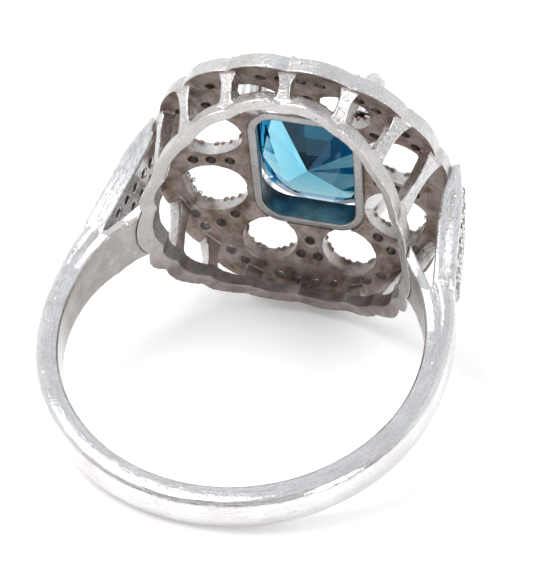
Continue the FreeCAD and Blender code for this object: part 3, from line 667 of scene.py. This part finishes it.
def finished(ob, node, material, smooth=True, rule=None):
    if rule:
        wear_and_shade(ob, rule)
    me = ob.data
    me.transform(Matrix.Scale(MM, 4))
    me.polygons.foreach_set("use_smooth", [smooth] * len(me.polygons))
    me.update()
    ob.name = node + "_cast"
    me.name = node + "_cast"
    return stand_in(ob, node, material)


def ball(bm, centre, radius, level=2):
    return bmesh.ops.create_icosphere(bm, subdivisions=level, radius=radius, matrix=Matrix.Translation(centre))["verts"]


def halo_r(phi, a=7.8, b=8.5, n=2.1):
    c, s = abs(math.cos(phi)), abs(math.sin(phi))
    return ((c / a) ** n + (s / b) ** n) ** (-1.0 / n)


# raised grains along the face edge of each petal opening
grains = bmesh.new()
for (cx, cy), (ha, hb), turn, follow in (((5.0, 2.02), (1.82, 1.58), 4.0, 0.0), ((2.2, 5.2), (1.5, 1.36), 16.0, 1.0)):
    for sx in (1, -1):
        for sy in (1, -1):
            t = math.radians(turn) * sx * sy
            count = 21 if ha > 1.6 else 18
            for k in range(count):
                w = 2 * math.pi * (k + 0.3 * math.sin(k * 2.3)) / count
                ex, ey = (ha - 0.02) * math.cos(w), (hb - 0.02) * math.sin(w)
                x = sx * cx + follow * SHIFT + ex * math.cos(t) - ey * math.sin(t)
                y = sy * cy + ex * math.sin(t) + ey * math.cos(t)
                ball(grains, Vector((x, y, dome_z(x, y) - 0.1)), 0.14 + 0.02 * math.sin(k * 1.7 + cx), 2)

head = joined("head", [welded(n) for n in ("halo_border", "petal_lattice", "gallery_rail",
                                            "gallery_posts_front", "gallery_posts_back")] + [grains])
skin(head, 0.055, 6)
unevenness(head, 0.03, 2.2)


collet = joined("collet", [welded("centre_collet")])
skin(collet, 0.05, 4)
co, no = unevenness(collet, 0.0, 0.0)
collet.data.vertices.foreach_set("co", (co + no * 0.035).ravel())
collet.data.update()

tool = loft_tool("tool_rail", [[(9.58 * math.sin(2 * math.pi * i / 180), y, 9.58 * math.cos(2 * math.pi * i / 180))
                                for i in range(180)] for y in (-11.0, 11.0)])
rail = divide(head, tool, "rail")
bpy.data.objects.remove(tool)

NX = 41
verts = []
for top in (False, True):
    for i in range(NX):
        for j in range(NX):
            x, y = -10 + 20 * i / (NX - 1), -10 + 20 * j / (NX - 1)
            verts.append((x, y, 17.0 if top else dome_z(x, y) - 1.06))
N2 = NX * NX
faces = []
for i in range(NX - 1):
    for j in range(NX - 1):
        a, b, c, d = i * NX + j, (i + 1) * NX + j, (i + 1) * NX + j + 1, i * NX + j + 1
        faces.append((d, c, b, a))
        faces.append((a + N2, b + N2, c + N2, d + N2))
for i in range(NX - 1):
    for p, q in ((i, i + 1), ((NX - 1) * NX + i, (NX - 1) * NX + i + 1)):
        faces.append((p, q, q + N2, p + N2))
    for p, q in ((i * NX, (i + 1) * NX), (i * NX + NX - 1, (i + 1) * NX + NX - 1)):
        faces.append((p, q, q + N2, p + N2))
tool = mesh_object("tool_dome", verts, faces)
bm = bmesh.new()
bm.from_mesh(tool.data)
bmesh.ops.recalc_face_normals(bm, faces=bm.faces)
bm.to_mesh(tool.data)
bm.free()
plate = divide(head, tool, "plate")
bpy.data.objects.remove(tool)

tool = loft_tool("tool_lattice", [[((halo_r(2 * math.pi * i / 144) - 1.12) * math.cos(2 * math.pi * i / 144),
                                    (halo_r(2 * math.pi * i / 144) - 1.12) * math.sin(2 * math.pi * i / 144), z)
                                   for i in range(144)] for z in (5.0, 18.0)])
lattice = divide(plate, tool, "lattice")
bpy.data.objects.remove(tool)


def only(ob, name, test):
    """A copy of ob with just the loose parts whose centre passes test."""
    bm = bmesh.new()
    bm.from_mesh(ob.data)
    bm.verts.ensure_lookup_table()
    seen, drop = set(), []
    for v in bm.verts:
        if v.index in seen:
            continue
        seen.add(v.index)
        stack, part = [v], []
        while stack:
            a = stack.pop()
            part.append(a)
            for e in a.link_edges:
                b = e.other_vert(a)
                if b.index not in seen:
                    seen.add(b.index)
                    stack.append(b)
        c = sum((q.co for q in part), Vector()) / len(part)
        if len(part) < 40 or not test(c):
            drop += part
    bmesh.ops.delete(bm, geom=drop, context="VERTS")
    me = bpy.data.meshes.new(name)
    bm.to_mesh(me)
    bm.free()
    return link(bpy.data.objects.new(name, me))


front = only(head, "posts_front", lambda c: c.y < 0)
back = only(head, "posts_back", lambda c: c.y > 0)
bpy.data.objects.remove(head)
for ob, node, mat, rule in ((collet, "centre_collet", M_COLLET, collet_darkening), (rail, "gallery_rail", M_RAIL, rail_painted_shade),
                            (plate, "halo_border", M_PLATE, head_dull_and_shade), (lattice, "petal_lattice", M_PLATE, head_dull_and_shade),
                            (front, "gallery_posts_front", M_POST, post_painted_shade),
                            (back, "gallery_posts_back", M_POST, post_painted_shade)):
    finished(ob, node, mat, rule=rule)

ob = cast_piece("centre_claws", "centre_claws_cast", 0.05, 8, 0.02, seed=5.0)
stand_in(ob, "centre_claws", M_BEAD)


def grain_piece(node):
    """Each raised grain as a slightly uneven ball."""
    bm = bmesh.new()
    for i, pts in enumerate(islands(node)):
        c = 0.5 * (pts.min(0) + pts.max(0))
        r = 0.5 * (pts.max(0) - pts.min(0)).max()
        for v in ball(bm, Vector(c), r, 3):
            d = v.co - Vector(c)
            v.co = Vector(c) + d * (0.985 + 0.05 * noise.noise(d * 6.0 + Vector((i * 1.3, 2.0, 5.0))))
    me = bpy.data.meshes.new(node + "_cast")
    bm.to_mesh(me)
    bm.free()
    ob = link(bpy.data.objects.new(node + "_cast", me))
    return finished(ob, node, M_BEAD)


for node in ("outer_beads", "inner_beads", "rib_beads", "left_shoulder_beads", "right_shoulder_beads"):
    grain_piece(node)

# ------------------------------------------------------------------- shank


def shank_blank(end=24.4, n_ang=720):
    """Band swept round the finger: flat inside with eased edges, straight
    sides and a crowned outside."""
    grow = [(-90.0, 9.92, 1.0, 0.42), (-20.0, 9.92, 1.0, 0.42), (-12.0, 9.925, 1.02, 0.42), (-4.0, 9.95, 1.09, 0.42),
            (4.0, 9.99, 1.17, 0.42), (11.0, 10.09, 1.25, 0.4), (18.0, 10.24, 1.37, 0.36), (24.4, 10.35, 1.5, 0.315),
            (29.3, 10.62, 1.62, 0.315)]
    angs = np.array([g[0] for g in grow])

    def at(a):
        a = a if a >= -90 else -180 - a
        return [float(np.interp(a, angs, [g[i] for g in grow])) for i in (1, 2, 3)]

    def section(out_r, hw, ed):
        ease = 0.16
        pts = []
        crown = 0.05
        side = out_r - crown - ed

        def arc(cx, cy, r, a0, a1, n, ry=None):
            for i in range(n + 1):
                a = math.radians(a0 + (a1 - a0) * i / n)
                pts.append((cx + r * math.cos(a), cy + (ry or r) * math.sin(a)))

        # inside face, slightly hollow between eased edges
        arc(R + ease, -hw + ease, ease, 180, 270, 6)
        for i in range(1, 14):
            t = i / 14
            pts.append((R + ease + (side - R - ease) * t, -hw))
        arc(side, -hw + ed, ed, 270, 360, 10)
        for i in range(1, 12):
            t = -1 + 2 * i / 12
            y = t * (hw - ed)
            pts.append((side + ed + crown * (1 - t * t), y))
        arc(side, hw - ed, ed, 0, 90, 10)
        for i in range(1, 14):
            t = 1 - i / 14
            pts.append((R + ease + (side - R - ease) * t, hw))
        arc(R + ease, hw - ease, ease, 90, 180, 6)
        for i in range(1, 10):
            t = 1 - 2 * i / 10
            pts.append((R + 0.004, t * (hw - ease)))
        mid, half = 0.5 * (R + out_r), 0.5 * (out_r - R)
        return [(r, y - math.copysign(0.07 * ((r - mid) / half) ** 2, y) * min(max((abs(y) - hw + 0.6) / 0.4, 0.0), 1.0))
                for r, y in pts]

    verts, faces, rings = [], [], []
    a0, a1 = -180.0 - end, end
    for k in range(n_ang + 1):
        deg = a0 + (a1 - a0) * k / n_ang
        sec = section(*at(deg))
        a = math.radians(deg)
        ring = []
        for r, y in sec:
            p = Vector((r * math.cos(a), y, r * math.sin(a)))
            w = 0.008 * noise.noise(p * 0.55) + 0.004 * noise.noise(p * 1.7 + Vector((4, 1, 2)))
            rr = r + (w - 0.006 if r > 9.3 else 0.0)
            ring.append(len(verts))
            verts.append((rr * math.cos(a) * MM, (y - math.copysign(0.004, y) if abs(y) > 0.9 else y) * MM, rr * math.sin(a) * MM))
        rings.append(ring)
    n = len(rings[0])
    for p, q in zip(rings, rings[1:]):
        for i in range(n):
            j = (i + 1) % n
            faces.append((p[i], q[i], q[j], p[j]))
    faces.append(tuple(rings[0]))
    faces.append(tuple(reversed(rings[-1])))
    bm = bmesh.new()
    vs = [bm.verts.new(Vector(v) / MM) for v in verts]
    for f in faces:
        face = bm.faces.new([vs[i] for i in f])
        if len(f) > 8:
            for e in face.edges:
                e.smooth = False
    bmesh.ops.recalc_face_normals(bm, faces=bm.faces)
    return bm


def fork_groove(ob):
    """The fork starts as a shallow groove on the sides of the band and goes
    on as a faint hollow up the sides of the shoulders."""
    me = ob.data
    co = np.empty(len(me.vertices) * 3)
    me.vertices.foreach_get("co", co)
    co = co.reshape(-1, 3)
    ang = np.degrees(np.arctan2(co[:, 2], np.abs(co[:, 0])))
    rad = np.hypot(co[:, 0], co[:, 2])
    deep = np.clip((ang - 8.0) / 17.0, 0.0, 1.0) ** 1.3 * np.clip((29.0 - ang) / 3.0, 0.0, 1.0)
    groove = 0.2 * deep * np.exp(-((rad - (9.34 + 0.004 * (ang - 8.0))) / 0.11) ** 2) * (np.abs(co[:, 1]) > 0.7)
    z = co[:, 2]
    outer = np.interp(z, [4.27, 5.2, 6.4, 7.8, 9.3, 10.5, 11.25], [9.42, 9.27, 9.1, 8.92, 8.73, 8.5, 8.22])
    inner = np.interp(z, [3.8, 5.0, 6.5, 8.0, 9.3, 10.75], [8.4, 8.2, 7.98, 7.76, 7.62, 7.5])
    t = (np.abs(co[:, 0]) - inner) / (outer - inner)
    run = np.clip((z - 4.6) / 1.2, 0.0, 1.0) * np.clip((10.9 - z) / 1.0, 0.0, 1.0)
    hollow = 0.07 * run * np.exp(-((t - 0.42) / 0.22) ** 2) * (np.abs(co[:, 1]) > 1.3)
    hollow += 0.06 * np.clip((z - 3.9) / 0.8, 0.0, 1.0) * np.clip(2 * t - 1, -1.0, 1.0) ** 2 * (np.abs(co[:, 1]) > 1.3)
    co[:, 1] -= np.sign(co[:, 1]) * (groove + hollow)
    me.vertices.foreach_set("co", co.ravel())
    me.update()
    return ob


band = joined("band", [shank_blank()] + [welded(n) for n in ("left_shoulder", "right_shoulder", "left_under_arm",
                                                              "right_under_arm")])
skin(band, 0.06, 14)


def settle(ob, guide):
    """Lays the skin of the forks onto the swept surface where they meet the
    hoop, so that the joints close without a step."""
    tree = BVHTree.FromBMesh(guide)
    for v in ob.data.vertices:
        p = v.co
        ang = math.degrees(math.atan2(p.z, abs(p.x)))
        if 20.0 < ang < 28.0:
            hit = tree.find_nearest(p, 0.09)
            if hit[0] is not None:
                w = min(max((27.6 - ang) / 2.2, 0.0), 1.0)
                v.co = p.lerp(hit[0], w)
    guide.free()
    ob.data.update()


settle(band, shank_blank(29.0, 1100))

fork_groove(band)


def sliced(ob, name, cuts):
    """A copy of ob kept on the far side of each plane, with flat ends."""
    bm = bmesh.new()
    bm.from_mesh(ob.data)
    for point, normal, side in cuts:
        faces = [f for f in bm.faces if side == 0 or f.verts[0].co.x * side > 2.0]
        part = set(faces)
        for f in faces:
            part.update(f.verts)
            part.update(f.edges)
        res = bmesh.ops.bisect_plane(bm, geom=list(part), dist=1e-5, plane_co=point,
                                     plane_no=normal, clear_inner=True)
        edges = [e for e in res["geom_cut"] if isinstance(e, bmesh.types.BMEdge)]
        bmesh.ops.holes_fill(bm, edges=edges, sides=0)
    for e in bm.edges:
        if len(e.link_faces) == 2 and max(len(f.verts) for f in e.link_faces) > 8:
            e.smooth = False
    me = bpy.data.meshes.new(name)
    bm.to_mesh(me)
    bm.free()
    return link(bpy.data.objects.new(name, me))


split = math.radians(24.4)
for label, sx in (("left", -1), ("right", 1)):
    foot = Vector((sx * 9.22 * math.cos(split), 0, 9.22 * math.sin(split)))
    rise = Vector((-sx * math.sin(split), 0, math.cos(split)))
    crotch = Vector((sx * 1.191, 0, 0.427)).normalized()
    half = (Vector((0, 0, 0)), Vector((sx, 0, 0)), 0)
    finished(sliced(band, label + "_outer", [half, (foot, rise, 0), (foot, crotch, 0)]), label + "_shoulder", M_ARM)
    finished(sliced(band, label + "_inner", [half, (foot, rise, 0), (foot, -crotch, 0)]), label + "_under_arm", M_BAND, rule=band_painted_shade)
hoop = fork_groove(joined("hoop", [shank_blank()]))
finished(hoop, "shank", M_BAND, rule=band_painted_shade)
bpy.data.objects.remove(band)

# ------------------------------------------------- table, lights and world


def support_plane():
    """The table that the ring lies on: it touches the head and the band."""
    pts = []
    for node in ("halo_border", "shank", "gallery_rail", "left_shoulder"):
        me = NODES[node].data
        co = np.empty(len(me.vertices) * 3)
        me.vertices.foreach_get("co", co)
        pts.append(co.reshape(-1, 3)[:, 1:])
    pts = np.vstack(pts)
    best = None
    for k in range(0, 4001):
        a = math.radians(10.0 + 20.0 * k / 4000)
        n = np.array((-math.cos(a), math.sin(a)))
        d = pts @ n
        head = d[pts[:, 1] > 0.005].min()
        band = d[pts[:, 1] < 0.0].min()
        gap = abs(head - band)
        if best is None or gap < best[0]:
            best = (gap, a, min(head, band))
    return best[1], best[2]


tilt, level = support_plane()
floor_n = Vector((0, -math.cos(tilt), math.sin(tilt)))
fx = Vector((1, 0, 0))
fy = floor_n.cross(fx)
centre = floor_n * (level - 0.00002)
S = 1.5
floor = mesh_object("table_top", [centre + fx * (a * S) + fy * (b * S) for a, b in ((-1, -1), (1, -1), (1, 1), (-1, 1))],
                    [(0, 1, 2, 3)])
m, nt, bsdf = new_material("table_paper")
vec = coord(nt)
tone = ramp(nt, noise_tex(nt, vec, 0.05, 2.0), [(0.3, (0.95, 0.955, 0.955)), (0.7, (0.97, 0.97, 0.965))])
nt.links.new(tone, bsdf.inputs["Base Color"])
nt.links.new(tone, bsdf.inputs["Emission Color"])
bsdf.inputs["Emission Strength"].default_value = 0.16
bsdf.inputs["Roughness"].default_value = 0.6
clear = nt.nodes.new("ShaderNodeBsdfTransparent")
geo = nt.nodes.new("ShaderNodeNewGeometry")
mx = nt.nodes.new("ShaderNodeMixShader")
nt.links.new(geo.outputs["Backfacing"], mx.inputs[0])
nt.links.new(bsdf.outputs[0], mx.inputs[1])
nt.links.new(clear.outputs[0], mx.inputs[2])
nt.links.new(mx.outputs[0], nt.nodes["Material Output"].inputs["Surface"])
floor.data.materials.append(m)
if (floor.data.polygons[0].normal - floor_n).length > 0.1:
    floor.data.flip_normals()


def area(name, direction, distance, size, power, colour=(1, 1, 1)):
    d = Vector(direction).normalized()
    data = bpy.data.lights.new(name, "AREA")
    data.shape = "DISK"
    data.size = size
    data.energy = power
    data.color = colour
    ob = link(bpy.data.objects.new(name, data))
    ob.location = d * distance + Vector((0, 0, 0.002))
    ob.rotation_euler = (-d).to_track_quat("-Z", "Y").to_euler()
    return ob


to_cam = -ahead
low_cam = (to_cam - floor_n * to_cam.dot(floor_n)).normalized()
across = floor_n.cross(low_cam).normalized()
area("key", floor_n * 1.0 + low_cam * 0.15 + across * -0.5, 0.5, 0.3, 1.1, (1.0, 0.995, 0.98))
area("front", floor_n * 0.42 + low_cam * 0.8 + across * 0.5, 0.5, 0.16, 0.7, (1.0, 1.0, 1.0))

world = bpy.data.worlds.new("studio")
scene.world = world
world.use_nodes = True
wt = world.node_tree
bg = wt.nodes["Background"]
tc = wt.nodes.new("ShaderNodeTexCoord")


def along(axis):
    d = wt.nodes.new("ShaderNodeVectorMath")
    d.operation = "DOT_PRODUCT"
    wt.links.new(tc.outputs["Generated"], d.inputs[0])
    d.inputs[1].default_value = tuple(axis)
    return d.outputs["Value"]


rise = along(floor_n)
sky = ramp(wt, map_range(wt, rise, -1.0, 1.0, 0.0, 1.0),
           [(0.0, (0.8, 0.8, 0.8)), (0.49, (0.95, 0.955, 0.96)), (0.62, (1.0, 1.0, 1.0)), (0.78, (1.0, 1.0, 1.0)),
            (0.90, (0.86, 0.885, 0.91)), (1.0, (0.76, 0.79, 0.83))])
room = ramp(wt, map_range(wt, rise, -1.0, 1.0, 0.0, 1.0),
            [(0.0, (0.10, 0.08, 0.07)), (0.50, (0.05, 0.038, 0.032)), (0.575, (0.09, 0.068, 0.056)), (0.61, (0.95, 0.93, 0.92)),
             (0.70, (0.80, 0.79, 0.79)), (0.80, (0.42, 0.40, 0.395)), (0.90, (0.80, 0.825, 0.85)), (1.0, (0.76, 0.79, 0.83))])
near = map_range(wt, along(low_cam), 0.15, 0.55, 0.0, 1.0)
wt.links.new(mix_rgb(wt, near, sky, room), bg.inputs["Color"])
bg.inputs["Strength"].default_value = 1.0
